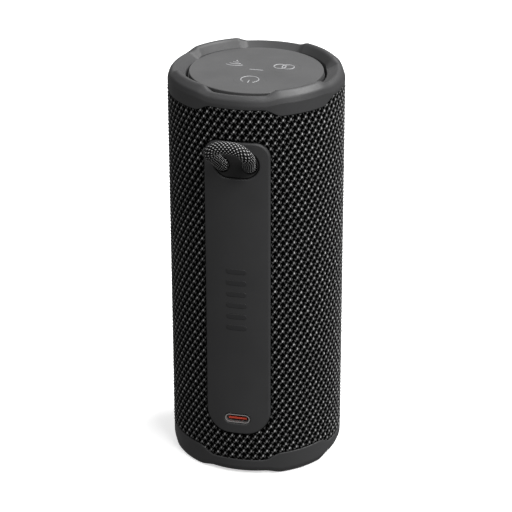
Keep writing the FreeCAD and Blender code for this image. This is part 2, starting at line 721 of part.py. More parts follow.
def make_radiator():
    frame_low = "shell_low - 0.1 - 1.2"
    node("radiator_frame", tube("radiator_frame", "carrier_floor - 0.2", "16.2", "1.2", 0, 0, frame_low))
    node("radiator_plate", cylinder("radiator_plate", "radiator_radius", "1.6", 0, 0, "radiator_low"))
    weight = cylinder("radiator_weight", "8", "1.8", 0, 0, "radiator_low + 1.65")
    node("radiator_weight", weight)
    roll = [
        # radius, height above the plate's underside
        (12.8, 1.65), (12.8, 1.95), (14.7, 1.95), (14.9, 0.95), (15.4, 0.7), (15.9, 0.95), (16.15, 1.65),
        (18.2, 1.65), (18.2, 1.3), (16.5, 1.25), (16.25, 0.6), (15.4, 0.25), (14.55, 0.6), (14.35, 1.65),
    ]
    profile = [(str(r), f"radiator_low + {h}") for r, h in roll]
    node("radiator_surround", turned("radiator_surround", profile))


# ---------------------------------------------------------------- driver
def driver_track(name, radius, length, y):
    """A prism along Y with the driver's racetrack outline."""
    return racetrack(name, "driver_core", radius, length, y, "driver_height", True)


def driver_screw_spots():
    for x in (-1, 1):
        for z in (-1, 1):
            yield f"{x} * 13.65", f"driver_height + {z} * (driver_core + 13.65)"


def make_driver_frame():
    face, inner = "baffle_front + 0.5", "basket_round - basket_wall"
    flange = driver_track("flange", "flange_round", "flange_thick", face)
    basket = driver_track("basket", "basket_round", f"{face} - basket_back + 0.1", "basket_back")
    hollow = driver_track("basket_hollow", inner, "30", "basket_back + 1.4")
    ring = (f"{inner} + 0.1", "14.9", "1.5", 0, "basket_back + 1.3", "driver_height", "Y")
    shell = cut("basket_shell", fuse("basket_blank", flange, basket), hollow)
    tools = [cylinder("basket_throat", "11.7", "9", 0, "basket_back - 3", "driver_height", "Y")]
    for x, z in driver_screw_spots():
        tools.append(cylinder("flange_hole", "1.5", "9", x, "baffle_front", z, "Y"))
    for side in (-1, 1):
        low = f"driver_height + {side} * 25 - 4.5"
        tools.append(box("basket_window", "18", "9", "9", 0, "basket_back - 3", low))
    full = fuse("basket_full", shell, tube("basket_ledge", *ring))
    node("driver_basket", cut("driver_basket", full, *tools))


def make_driver_motor():
    def on_axis(name, radius, length, y):
        return cylinder(name, radius, length, 0, y, "driver_height", "Y")

    pot = on_axis("pot_blank", "yoke_radius", "basket_back - 0.05 - yoke_back", "yoke_back")
    node("driver_yoke", cut("driver_yoke", pot, on_axis("pot_gap", "11.8", "30", "yoke_back + 1.5")))
    node("driver_magnet", on_axis("driver_magnet", "9.4", "6.6", "yoke_back + 1.55"))
    node("driver_top_plate", on_axis("driver_top_plate", "9.9", "2.8", "yoke_back + 8.2"))
    axis = (0, "-0.5", "driver_height", "Y")
    former = tube("former", "coil_inner + 0.3", "coil_inner", "11.1", *axis)
    winding = tube("winding", "coil_inner + 0.8", "coil_inner + 0.2", "4.5", *axis)
    node("voice_coil", fuse("voice_coil", former, winding))
    ripple = [("11.0", 0.7), ("11.9", 0.7), ("12.6", 0), ("13.4", 1.0)]
    ripple += [("14.2", 0), ("14.9", 0.7), ("16.2", 0.7)]
    under = [(r, f"{h}") for r, h in ripple]
    over = [(r, f"{h + 0.35}") for r, h in reversed(ripple)]
    node("driver_spider", turned("driver_spider", under + over, "basket_back + 2.9", "driver_height", "Y"))


def make_driver_cone():
    rim_y, neck_y = d.baffle_front + 1.9, 10.1
    def dish(shift):
        neck = racetrack_wire(0.4, d.coil_inner + 0.4 + shift, neck_y)
        rim = racetrack_wire(d.driver_core, d.cone_round - 0.5 + shift, rim_y)
        return Part.makeLoft([neck, rim], True, True)

    node("driver_cone", feature("driver_cone", dish(0.5).cut(dish(0))))
    cap = [("0", "3.4"), ("4", "3.0"), ("7.6", "1.9"), ("10.6", "0.1"), ("10.6", "-0.3")]
    cap += [("10.2", "-0.3"), ("7.4", "1.4"), ("4", "2.5"), ("0", "2.9")]
    node("dust_cap", turned("dust_cap", cap, "11.0", "driver_height", "Y"))


def make_driver_surround():
    """A half roll between the cone's rim and the basket's flange, swept round a racetrack."""
    middle, base, crest = 15.5, d.baffle_front + 1.95, 1.5
    path = racetrack_wire(d.driver_core, middle, base)
    def spot(across, up):
        return V(middle + across, base + up, d.driver_height - d.driver_core)

    outer = Part.Arc(spot(1.15, 0.35), spot(0, 0.35 + crest), spot(-1.15, 0.35)).toShape()
    inner = Part.Arc(spot(-0.8, 0), spot(0, crest), spot(0.8, 0)).toShape()
    lip = [spot(0.8, 0), spot(2.0, 0), spot(2.0, 0.35), spot(1.15, 0.35)]
    rim = [spot(-1.15, 0.35), spot(-2.3, 0.35), spot(-2.3, 0), spot(-0.8, 0)]
    edges = [Part.makeLine(a, b) for a, b in zip(lip, lip[1:])] + [outer]
    edges += [Part.makeLine(a, b) for a, b in zip(rim, rim[1:])] + [inner]
    section = Part.Wire(edges)
    node("driver_surround", feature("driver_surround", path.makePipeShell([section], True, True)))


def make_driver_fixings():
    ring = driver_track("gasket_ring", "flange_round - 0.3", "0.4", "baffle_front + 0.05")
    holes = [driver_track("gasket_hole", "basket_round + 0.3", "9", "baffle_front - 3")]
    screws = []
    for x, z in driver_screw_spots():
        screws.append(cylinder("driver_screw", "1.35", "1.8", x, "baffle_front + 0.05", z, "Y"))
        holes.append(cylinder("gasket_screw_hole", "1.5", "9", x, "baffle_front - 3", z, "Y"))
    node("driver_gasket", cut("driver_gasket", ring, *holes))
    node("driver_screws", group("driver_screws", screws))


# ---------------------------------------------------------------- battery, boards, volume keys
def make_battery():
    cell = cylinder("cell_can", "cell_radius", "cell_length", 0, "cell_axis", "cell_low")
    tip = cylinder("cell_tip", "3", "0.8", 0, "cell_axis", "cell_low + cell_length - 0.1")
    node("battery_cell", fuse("battery_cell", cell, tip))
    clips = []
    for low in ("cell_low + 3", "cell_low + 54"):
        clips.append(tube("clip", "cell_radius + 0.9", "cell_radius + 0.05", "8", 0, "cell_axis", low))
    for side in (-1, 1):
        across = f"{side} * 11.5"
        clips.append(box("clip_wall", "7", "2.5", "58", across, "cell_axis - 7.2", "cell_low + 3"))
    clear = cylinder("clip_clear", "cell_radius + 0.05", "80", 0, "cell_axis", "cell_low - 5")
    keep = cylinder("clip_keep", "shell_inner - 0.05", "total_height")
    whole = common("cradle_round", fuse("cradle_blank", *clips), keep)
    node("battery_cradle", cut("battery_cradle", whole, clear))


def make_main_board():
    z = "main_board_low"
    round_board = cylinder("main_round", "shell_inner - 0.6", "board_thick", 0, 0, z)
    keep = box("main_keep", "70", "35 + baffle_front - baffle_wall - 0.4", "board_thick", 0, "-35", z)
    node("main_board", common("main_board", round_board, keep))
    face = f"{z} + board_thick + 0.02"
    parts = [
        box("radio_can", "14", "11", "2.2", "-9", "-2", face),
        box("amplifier", "7", "7", "1.0", "9", "2", face),
        box("processor", "9", "9", "1.1", "7", "-12", face),
        box("board_plug", "9", "3.6", "5", "0", "9.5", face),
        box("inductor", "4.5", "4.5", "3", "17", "3", face),
        cylinder("capacitor", "3", "6.5", "-15", "-14", face),
        cylinder("capacitor", "3", "6.5", "17", "-9", face),
    ]
    node("main_chips", group("main_chips", parts))


def make_volume_keys():
    for name, sign in (("key_plus", 1), ("key_minus", -1)):
        z = f"volume_height + {sign} * volume_pitch / 2"
        tip = "volume_board_face + switch_height + plunger_height + volume_travel + 0.04"
        face = volume_prism(name + "_face", sign, "0", "26.5", "9")
        trimmed = common(name + "_trimmed", face, cylinder(name + "_skin", "volume_crest", "total_height"))
        flange = cylinder(name + "_flange", "6.4", "1.0", 0, "25.6", z, "Y")
        stem = cylinder(name + "_stem", "stem_radius", f"25.7 - ({tip})", 0, tip, z, "Y")
        node(name, fuse(name, trimmed, flange, stem))
    back = "volume_board_face - board_thick"
    node("volume_board", box("volume_board", "14", "board_thick", "34", 0, back, "volume_height - 17"))
    parts = []
    face, side, tip = "volume_board_face + 0.02", "switch_width", "volume_board_face + switch_height - 0.1"
    for sign in (1, -1):
        z = f"volume_height + {sign} * volume_pitch / 2"
        case = box("volume_case", side, "switch_height", side, 0, face, f"{z} - {side} / 2")
        plunger = cylinder("volume_plunger", "plunger_radius", "plunger_height + 0.1", 0, tip, z, "Y")
        parts.append(fuse("volume_switch", case, plunger))
    node("volume_switches", group("volume_switches", parts))


make_bumpers()
make_fabric()
make_grille_frame()
make_strip()
make_pocket()
make_post()
make_loop()
make_port()
make_top_disc()
make_top_keys()
make_top_carrier()
make_control_board()
make_enclosure()
make_foot_carrier()
make_radiator()
make_driver_frame()
make_driver_motor()
make_driver_cone()
make_driver_surround()
make_driver_fixings()
make_battery()
make_main_board()
make_volume_keys()

doc.recompute()
for thing in doc.Objects:
    if "Invalid" in thing.State or "Error" in thing.State:
        raise RuntimeError(f"{thing.Label}: {thing.State}")
for thing in nodes:
    if thing.Shape.isNull() or not thing.Shape.isValid() or thing.Shape.Volume < 0.1:
        raise RuntimeError(f"{thing.Label} has no valid shape")
os.makedirs("parts", exist_ok=True)
for thing in nodes:
    thing.Shape.exportStep(f"parts/{thing.Label}.step")
print(len(nodes), "sub-parts")
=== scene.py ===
"""Looks of the can-shaped speaker: woven sleeve, rubber bumpers and strip, top keys and cord loop.

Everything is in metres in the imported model's frame: +Z up the can, -Y out of the rubber strip.
"""

import json
import math

import bmesh
import bpy
import numpy as np
from mathutils import Matrix, Vector


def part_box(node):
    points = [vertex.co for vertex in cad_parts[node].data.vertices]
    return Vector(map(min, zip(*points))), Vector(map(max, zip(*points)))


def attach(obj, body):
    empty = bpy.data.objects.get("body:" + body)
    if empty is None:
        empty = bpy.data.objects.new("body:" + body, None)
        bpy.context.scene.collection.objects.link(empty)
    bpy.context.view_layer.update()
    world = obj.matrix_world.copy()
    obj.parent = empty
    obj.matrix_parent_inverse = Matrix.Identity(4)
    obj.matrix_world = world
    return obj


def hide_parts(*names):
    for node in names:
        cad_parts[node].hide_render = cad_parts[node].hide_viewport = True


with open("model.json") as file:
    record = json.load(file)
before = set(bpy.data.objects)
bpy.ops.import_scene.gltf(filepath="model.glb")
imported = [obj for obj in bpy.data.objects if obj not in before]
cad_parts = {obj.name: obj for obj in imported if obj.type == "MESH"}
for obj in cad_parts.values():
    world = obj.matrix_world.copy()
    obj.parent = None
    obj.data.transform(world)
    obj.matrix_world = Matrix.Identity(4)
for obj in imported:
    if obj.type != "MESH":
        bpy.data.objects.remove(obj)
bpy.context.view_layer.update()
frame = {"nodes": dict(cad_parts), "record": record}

MM = 0.001


def middle(node, axis):
    low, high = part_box(node)
    return (low[axis] + high[axis]) / 2


# ---------------------------------------------------------------- sizes, from the frame
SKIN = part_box("fabric_sleeve")[1].x
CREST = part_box("top_bumper")[1].z
DISC_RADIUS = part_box("top_disc")[1].x
DISC_LOW, DISC_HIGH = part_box("top_disc")[0].z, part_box("top_disc")[1].z
STRIP_LOW, STRIP_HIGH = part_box("rear_strip")[0].z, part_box("rear_strip")[1].z
STRIP_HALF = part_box("rear_strip")[1].x
STRIP_OUT = -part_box("rear_strip")[0].y
STRIP_IN = STRIP_OUT - 1.2 * MM
PORT_HEIGHT = middle("usb_shell", 2)
POCKET_HEIGHT = middle("loop_post", 2)
LIGHT_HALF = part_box("status_light_pipe")[1].x
LIGHT_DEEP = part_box("status_light_pipe")[1].y

LOBE_SKIRT = 8.4 * MM
BAY_SKIRT = 6.0 * MM
DECK = 5.8 * MM
STRIP_TOP_CORNER = 5.5 * MM
STRIP_BOTTOM_CORNER = 8.5 * MM
MOUTH_HALF, MOUTH_ROUND = 8.0 * MM, 5.1 * MM
PORT_HALF, PORT_ROUND = 4.6 * MM, 1.9 * MM
WEAVE_COLUMNS = 138
WEAVE_PITCH = 3.94 * MM
SLEEVE_PIECES = 6
CORD_RADIUS = 2.1 * MM


# ---------------------------------------------------------------- camera
CAMERA_AZIMUTH = math.radians(13.2)
CAMERA_BACK = 693.0 * MM
CAMERA_HEIGHT = 392.6 * MM
CAMERA_LENS = 149.7
SENSOR_WIDE = 36
CAMERA_SIDE = -0.31 * MM
TARGET_HEIGHT = 72.66 * MM
CAMERA_ROLL = -0.0029


def make_camera():
    out = Vector((math.sin(CAMERA_AZIMUTH), -math.cos(CAMERA_AZIMUTH), 0))
    right = Vector((math.cos(CAMERA_AZIMUTH), math.sin(CAMERA_AZIMUTH), 0))
    data = bpy.data.cameras.new("camera")
    camera = bpy.data.objects.new("camera", data)
    bpy.context.scene.collection.objects.link(camera)
    data.lens = CAMERA_LENS
    data.sensor_width = SENSOR_WIDE
    data.clip_start = 0.05
    data.clip_end = 20
    camera.location = out * CAMERA_BACK + right * CAMERA_SIDE + Vector((0, 0, CAMERA_HEIGHT))
    aim = right * CAMERA_SIDE + Vector((0, 0, TARGET_HEIGHT)) - camera.location
    camera.rotation_mode = "QUATERNION"
    roll = Matrix.Rotation(CAMERA_ROLL, 4, "Z").to_quaternion()
    camera.rotation_quaternion = aim.to_track_quat("-Z", "Y") @ roll
    bpy.context.scene.camera = camera


# ---------------------------------------------------------------- mesh helpers
def new_object(name, mesh, body, material, replaced=()):
    piece = bpy.data.objects.new(name, mesh)
    bpy.context.scene.collection.objects.link(piece)
    mesh.materials.clear()
    mesh.materials.append(material)
    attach(piece, body)
    if replaced:
        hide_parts(*replaced)
    return piece


def mesh_from(name, points, faces):
    """A smooth-shaded mesh from an (n, 3) array of points and an (m, 4) array of quads."""
    mesh = bpy.data.meshes.new(name)
    points = np.asarray(points, dtype=np.float32).reshape(-1, 3)
    faces = np.asarray(faces, dtype=np.int32).reshape(-1, 4)
    mesh.vertices.add(len(points))
    mesh.vertices.foreach_set("co", points.ravel())
    mesh.loops.add(faces.size)
    mesh.loops.foreach_set("vertex_index", faces.ravel())
    mesh.polygons.add(len(faces))
    mesh.polygons.foreach_set("loop_start", np.arange(0, faces.size, 4, dtype=np.int32))
    mesh.polygons.foreach_set("use_smooth", np.ones(len(faces), dtype=bool))
    mesh.update(calc_edges=True)
    mesh.validate()
    return mesh


def grid_faces(rows, columns, wrap_rows=False, wrap_columns=False):
    """Quads of a grid of rows by columns points, numbered row by row."""
    row = np.arange(rows if wrap_rows else rows - 1)
    column = np.arange(columns if wrap_columns else columns - 1)
    row, column = np.meshgrid(row, column, indexing="ij")
    after, beside = (row + 1) % rows, (column + 1) % columns
    here, above = row * columns, after * columns
    corners = [here + column, here + beside, above + beside, above + column]
    return np.stack(corners, axis=-1).reshape(-1, 4)


def smooth_step(value, start, end):
    t = np.clip((value - start) / (end - start), 0, 1)
    return t * t * (3 - 2 * t)


def store(mesh, name, values):
    layer = mesh.attributes.new(name, "FLOAT", "POINT")
    layer.data.foreach_set("value", np.asarray(values, dtype=np.float32).ravel())


def soften(piece, degrees=40):
    """Smooth shading that keeps flat faces flat and edges over an angle sharp."""
    mesh = piece.data
    mesh.polygons.foreach_set("use_smooth", np.ones(len(mesh.polygons), dtype=bool))
    mesh.set_sharp_from_angle(angle=math.radians(degrees))
    weighted = piece.modifiers.new("weighted", "WEIGHTED_NORMAL")
    weighted.keep_sharp = True
    weighted.weight = 80


# ---------------------------------------------------------------- outlines
def arc_points(centre, radius, start, end, count):
    angles = np.radians(np.linspace(start, end, count))
    return [(centre[0] + radius * math.cos(a), centre[1] + radius * math.sin(a)) for a in angles]


def strip_outline(grow, count=14):
    half, low, high = STRIP_HALF + grow, STRIP_LOW - grow, STRIP_HIGH + grow
    above, below = STRIP_TOP_CORNER + grow, STRIP_BOTTOM_CORNER + grow
    made = arc_points((half - above, high - above), above, 0, 90, count)
    made += arc_points((above - half, high - above), above, 90, 180, count)
    made += arc_points((below - half, low + below), below, 180, 270, count)
    made += arc_points((half - below, low + below), below, 270, 360, count)
    return made


def racetrack_outline(half, radius, height, grow, count=16):
    core = half - radius
    made = arc_points((core, height), radius + grow, -90, 90, count)
    return made + arc_points((-core, height), radius + grow, 90, 270, count)


def circle_outline(centre, radius, grow, count=96):
    return arc_points(centre, radius + grow, 0, 360, count + 1)[:-1]


def box_outline(half, deep, centre, grow):
    x, y = half + grow, deep + grow
    return [(centre[0] + a * x, centre[1] + b * y) for a, b in ((1, -1), (1, 1), (-1, 1), (-1, -1))]


def cross_outline(reach, bar, centre, grow):
    a, b = reach + grow, bar + grow
    corners = [(a, -b), (a, b), (b, b), (b, a), (-b, a), (-b, b)]
    corners += [(-x, -y) for x, y in corners]
    return [(centre[0] + x, centre[1] + y) for x, y in corners]


def plate(name, outer, holes, top, bottom, edge, hole_edge, place, cuts=()):
    """A flat plate with round-edged outline and holes, put in space by place(x, y, height).

    outer and holes are functions of how far the outline is grown; cuts are x values where the plate's
    faces are split so that it can bend.
    """
    mesh = bmesh.new()
    steps = 5

    def ring(outline, grow, height):
        return [mesh.verts.new((x, y, height)) for x, y in outline(grow)]

    def wall(rings):
        for lower, upper in zip(rings, rings[1:]):
            for k in range(len(lower)):
                nxt = (k + 1) % len(lower)
                mesh.faces.new((lower[k], lower[nxt], upper[nxt], upper[k]))

    lids = ([], [])
    for outline, radius, sign in [(outer, edge, -1)] + [(hole, hole_edge, 1) for hole in holes]:
        rings = [ring(outline, 0, bottom)]
        for k in range(steps + 1):
            turn = math.pi / 2 * k / steps
            grow = sign * radius * (1 - math.cos(turn))
            rings.append(ring(outline, grow, top - radius * (1 - math.sin(turn))))
        wall(rings)
        lids[0].append(rings[0])
        lids[1].append(rings[-1])
    for lid in lids:
        edges = [mesh.edges.get((r[k], r[(k + 1) % len(r)])) for r in lid for k in range(len(r))]
        bmesh.ops.triangle_fill(mesh, use_beauty=True, edges=edges)
    for x in cuts:
        everything = mesh.verts[:] + mesh.edges[:] + mesh.faces[:]
        bmesh.ops.bisect_plane(mesh, geom=everything, plane_co=(x, 0, 0), plane_no=(1, 0, 0), dist=1e-7)
    for vert in mesh.verts:
        vert.co = Vector(place(*vert.co))
    bmesh.ops.recalc_face_normals(mesh, faces=mesh.faces[:])
    made = bpy.data.meshes.new(name)
    mesh.to_mesh(made)
    mesh.free()
    return made


def bend_cuts(half, step=0.8):
    """Where a plate of a half width is split so that it bends; half and step are in millimetres."""
    return np.arange(-half, half + 0.1, step) * MM


def on_back(x, z, radius):
    """A point on the can's -Y side at a radius about its axis."""
    return x, -math.sqrt(max(radius * radius - x * x, 0)), z


def on_front(x, z, radius):
    """A point on the can's +Y side at a radius about its axis."""
    return x, math.sqrt(max(radius * radius - x * x, 0)), z


def flat_up(x, y, height):
    return x, y, height


# ---------------------------------------------------------------- materials
class Look:
    """A Principled material whose constant values sit on the shader's own sockets."""

    def __init__(self, name, colour, rough, metal=0.0, specular=0.5, coat=0.0):
        self.material = bpy.data.materials.new(name)
        self.material.use_nodes = True
        self.nodes = self.material.node_tree.nodes
        self.links = self.material.node_tree.links
        self.shader = self.nodes["Principled BSDF"]
        self.set("Base Color", (*colour, 1))
        self.set("Roughness", rough)
        self.set("Metallic", metal)
        self.set("Specular IOR Level", specular)
        self.set("Coat Weight", coat)
        self.last_bump = None

    def set(self, socket, value):
        self.shader.inputs[socket].default_value = value

    def node(self, kind, **values):
        made = self.nodes.new("ShaderNode" + kind)
        for name, value in values.items():
            setattr(made, name, value)
        return made

    def noise(self, scale, detail=4, stretch=(1, 1, 1)):
        """Noise over the object's own coordinates; scale is in cycles per millimetre."""
        place = self.node("TexCoord")
        mapping = self.node("Mapping")
        mapping.inputs["Scale"].default_value = [s * scale * 1000 for s in stretch]
        made = self.node("TexNoise")
        made.inputs["Scale"].default_value = 1
        made.inputs["Detail"].default_value = detail
        self.links.new(place.outputs["Object"], mapping.inputs["Vector"])
        self.links.new(mapping.outputs["Vector"], made.inputs["Vector"])
        return made.outputs["Fac"]

    def coordinate(self, axis):
        """The object's own X, Y or Z, in metres."""
        place = self.node("TexCoord")
        split = self.node("SeparateXYZ")
        self.links.new(place.outputs["Object"], split.inputs["Vector"])
        return split.outputs[axis]

    def attribute(self, name):
        made = self.node("Attribute", attribute_name=name)
        return made.outputs["Fac"]

    def math(self, operation, first, second=None):
        """A sum on one or two values, each a number or another node's output."""
        made = self.node("Math", operation=operation)
        for socket, value in zip(made.inputs, (first, second)):
            if isinstance(value, (int, float)):
                socket.default_value = value
            elif value is not None:
                self.links.new(value, socket)
        return made.outputs["Value"]

    def ramp(self, source, stops, target):
        """Colours or greys along a source from 0 to 1, into one of the shader's sockets."""
        made = self.node("ValToRGB")
        elements = made.color_ramp.elements
        while len(elements) < len(stops):
            elements.new(0.5)
        for element, (place, value) in zip(elements, stops):
            element.position = place
            element.color = (*value, 1) if isinstance(value, tuple) else (value, value, value, 1)
        self.links.new(source, made.inputs["Fac"])
        self.links.new(made.outputs["Color"], self.shader.inputs[target])

    def bump(self, source, distance, strength=1.0):
        made = self.node("Bump")
        made.inputs["Strength"].default_value = strength
        made.inputs["Distance"].default_value = distance
        self.links.new(source, made.inputs["Height"])
        if self.last_bump:
            self.links.new(self.last_bump, made.inputs["Normal"])
        self.last_bump = made.outputs["Normal"]
        self.links.new(self.last_bump, self.shader.inputs["Normal"])


def shade(colour, factor):
    return tuple(c * factor for c in colour)


def rubber(name, colour, rough):
    """Moulded rubber: a fine eroded grain, slight cloudiness and faint smears in the gloss."""
    look = Look(name, colour, rough, specular=0.4)
    look.ramp(look.noise(0.05, 5), [(0.3, shade(colour, 0.9)), (0.7, shade(colour, 1.1))], "Base Color")
    look.ramp(look.noise(0.12, 4), [(0.3, rough - 0.05), (0.7, rough + 0.06)], "Roughness")
    look.bump(look.noise(7.0, 3), 0.04 * MM, 0.5)
    return look.material


def plastic(name, colour, rough, grain=0.3):
    """Moulded plastic, paper or paint: slight cloudiness and a fine grain."""
    look = Look(name, colour, rough)
    look.ramp(look.noise(0.08, 4), [(0.35, shade(colour, 0.88)), (0.65, shade(colour, 1.12))], "Base Color")
    look.bump(look.noise(4.0, 4), 0.03 * MM, grain)
    return look.material


def brushed(name, colour, rough, metal=1.0):
    """Bare metal whose gloss varies in fine streaks."""
    look = Look(name, colour, rough, metal=metal)
    streaks = (1, 1, 12)
    look.ramp(look.noise(1.2, 5, streaks), [(0.3, rough - 0.1), (0.7, rough + 0.12)], "Roughness")
    look.bump(look.noise(2.5, 3, streaks), 0.01 * MM, 0.4)
    return look.material


def weave_painted_light_look():
    """Black yarn whose colour follows the weave attribute: near black as painted shade in the deep holes,
    dim slanted strands and crowns painted bright as a highlight.
    """
    look = Look("woven_fabric_painted_light", (0.03, 0.03, 0.03), 0.7, specular=0.03)
    # painted light from the weave attribute: near black as shade in the holes, bright as a highlight on the
    # crowns
    stops = [(0.0, 0.0003), (0.3, 0.002), (0.45, 0.04), (0.62, 0.11), (0.8, 0.24), (1.0, 0.8)]
    look.ramp(look.attribute("weave"), stops, "Base Color")
    look.bump(look.noise(5.0, 3, (1, 1, 0.4)), 0.06 * MM, 0.5)
    return look.material


def braid_painted_light_look():
    """Black cord whose raised threads are painted grey as a highlight and whose grooves are painted near
    black as shade.
    """
    look = Look("braided_cord_painted_light", (0.05, 0.05, 0.05), 0.55, specular=0.2)
    # painted light from the thread height: near black as shade in the grooves, grey as a highlight on the
    # raised threads
    stops = [(0.0, 0.0005), (0.45, 0.003), (0.72, 0.05), (1.0, 0.62)]
    look.ramp(look.attribute("weave"), stops, "Base Color")
    look.bump(look.noise(6.0, 3), 0.05 * MM, 0.5)
    return look.material


def post_painted_shadow_look():
    """The loop's plate: dull rubber, slightly darker towards its middle, with a painted shadow ring within
    half a millimetre of its rim.
    """
    look = Look("post_rubber_painted_shadow", (0.022, 0.022, 0.023), 0.6, specular=0.25)
    aside = look.math("ABSOLUTE", look.coordinate("X"))
    across = look.math("MAXIMUM", look.math("SUBTRACT", aside, MOUTH_HALF - MOUTH_ROUND), 0)
    up = look.math("SUBTRACT", look.coordinate("Z"), POCKET_HEIGHT)
    square = look.math("ADD", look.math("POWER", across, 2), look.math("POWER", up, 2))
    share = look.math("DIVIDE", look.math("SQRT", square), MOUTH_ROUND)
    # painted shadow: near black in a ring at the rim; inside it the rubber is a little darker towards the
    # middle
    stops = [(0.0, 0.016), (0.6, 0.024), (0.89, 0.026), (0.93, 0.001), (1.0, 0.0005)]
    look.ramp(share, stops, "Base Color")
    return look.material


def tongue_painted_shade_look():
    """Orange-red plastic that keeps its own colour on its front edge and is painted deep red inside the
    shell as shade.
    """
    bright, dark = (0.62, 0.07, 0.035), (0.09, 0.003, 0.0015)
    look = Look("tongue_plastic", bright, 0.4)
    depth = look.math("SUBTRACT", look.coordinate("Y"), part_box("usb_tongue")[0].y)
    share = look.math("DIVIDE", depth, 2 * MM)
    # painted shade: the front edge keeps the plastic's own colour, and from about a quarter of a millimetre
    # in it is painted deep red
    look.ramp(share, [(0.0, bright), (0.06, bright), (0.12, dark), (1.0, dark)], "Base Color")
    return look.material


def board_look():
    """Green board with lighter tracks."""
    look = Look("circuit_board", (0.01, 0.09, 0.03), 0.35, coat=0.3)
    mask, copper = (0.008, 0.07, 0.025), (0.02, 0.16, 0.06)
    look.ramp(look.noise(0.9, 2, (1, 6, 1)), [(0.45, mask), (0.55, copper)], "Base Color")
    return look.material


RUBBER = rubber("bumper_rubber", (0.043, 0.043, 0.044), 0.5)
STRIP_RUBBER = rubber("strip_rubber", (0.039, 0.039, 0.04), 0.55)
DISC_RUBBER = rubber("panel_rubber", (0.066, 0.066, 0.067), 0.6)
RIDGE_RUBBER = rubber("ridge_rubber", (0.03, 0.03, 0.031), 0.45)
SEAL_RUBBER = rubber("seal_rubber", (0.02, 0.02, 0.02), 0.5)
ICON_PAINT = plastic("icon_paint", (0.32, 0.32, 0.33), 0.5)
DARK_PLASTIC = plastic("black_plastic", (0.016, 0.016, 0.017), 0.5)
CHIP_PLASTIC = plastic("chip_plastic", (0.02, 0.02, 0.022), 0.4)
LIGHT_PLASTIC = plastic("light_plastic", (0.2, 0.2, 0.21), 0.3)
POST_PAINTED_SHADOW = post_painted_shadow_look()
TONGUE_PAINTED_SHADE = tongue_painted_shade_look()
CELL_WRAP = plastic("battery_wrap", (0.02, 0.1, 0.3), 0.3)
CONE_PAPER = plastic("cone_paper", (0.025, 0.025, 0.026), 0.75, 0.8)
SPIDER_CLOTH = plastic("spider_cloth", (0.45, 0.28, 0.08), 0.8, 0.8)
PORT_STEEL = brushed("port_steel", (0.85, 0.83, 0.82), 0.25, metal=0.86)
STEEL = brushed("bright_steel", (0.5, 0.5, 0.52), 0.35)
COPPER = brushed("coil_copper", (0.7, 0.3, 0.12), 0.35)
BOARD = board_look()
WEAVE = weave_painted_light_look()
BRAID = braid_painted_light_look()

NODE_LOOKS = {
    "black_fabric": WEAVE,
    "cord_fabric": BRAID,
    "bumper_rubber": RUBBER,
    "panel_rubber": DISC_RUBBER,
    "strip_rubber": STRIP_RUBBER,
    "seal_rubber": SEAL_RUBBER,
    "black_plastic": DARK_PLASTIC,
    "light_plastic": LIGHT_PLASTIC,
    "tongue_plastic": TONGUE_PAINTED_SHADE,
    "port_steel": PORT_STEEL,
    "bright_steel": STEEL,
    "circuit_board": BOARD,
    "chip_plastic": CHIP_PLASTIC,
    "battery_wrap": CELL_WRAP,
    "cone_paper": CONE_PAPER,
    "spider_cloth": SPIDER_CLOTH,
    "coil_copper": COPPER,
}


def dress_frame():
    """Every carried-over node gets the finish of its record slot."""
    for part in frame["record"]["subparts"]:
        node = frame["nodes"][part["node"]]
        look = NODE_LOOKS[part["material_slot"]]
        # the loop's plate gets the rubber with the painted shadow ring round its rim
        if part["node"] == "loop_post":
            look = POST_PAINTED_SHADOW
        for slot in node.material_slots:
            slot.material = look


# ---------------------------------------------------------------- bumpers
def from_lobe(angle):
    """Angle from the nearest lobe's middle, in degrees, from 0 to 45."""
    turned = np.mod(np.degrees(angle), 90) - 45
    return np.abs(turned)


LOBE_END, BAY_START = 15.0, 28.0


def skirt_depth(angle):
    """Depth of a skirt's edge below its crest: deep at the lobes, shallow between them."""
    lobe = 1 - smooth_step(from_lobe(angle), LOBE_END, BAY_START)
    return BAY_SKIRT + (LOBE_SKIRT - BAY_SKIRT) * lobe


# sections through the bumpers: radius, depth below the crest and rounding, all in millimetres
BUMPER_OUT, SKIRT_IN = 30.7, 28.6
TOP_LOBE = [
    (23.85, 5.75, 0.1),
    (24.7, 3.0, 0.6),
    (27.3, -0.55, 9.0),
    (30.2, 2.0, 1.8),
    (BUMPER_OUT, 3.9, 1.2),
]
TOP_BAY = [
    (23.85, 5.75, 0.1),
    (24.4, 3.6, 0.3),
    (28.6, 1.4, 9.0),
    (30.1, 2.6, 3.0),
    (BUMPER_OUT, 4.7, 2.5),
]
FOOT_LOBE = [
    (23.78, 5.75, 0.1),
    (23.78, 2.7, 0.3),
    (26.0, 0.0, 0.5),
    (29.3, 0.0, 0.3),
    (30.3, 0.5, 0.4),
    (BUMPER_OUT, 2.2, 0.8),
]
FOOT_BAY = [
    (23.78, 5.75, 0.1),
    (23.9, 2.9, 0.3),
    (25.4, 0.7, 0.5),
    (28.4, 0.7, 0.8),
    (30.0, 1.4, 1.2),
    (BUMPER_OUT, 3.2, 1.6),
]
# at an inner and an outer radius: a lobe's end in degrees from its middle, and how far it is spread
END_RADII = 24, 30
END_ANGLES = 22.4, 20.8
END_WIDTHS = 3.0, 6.2


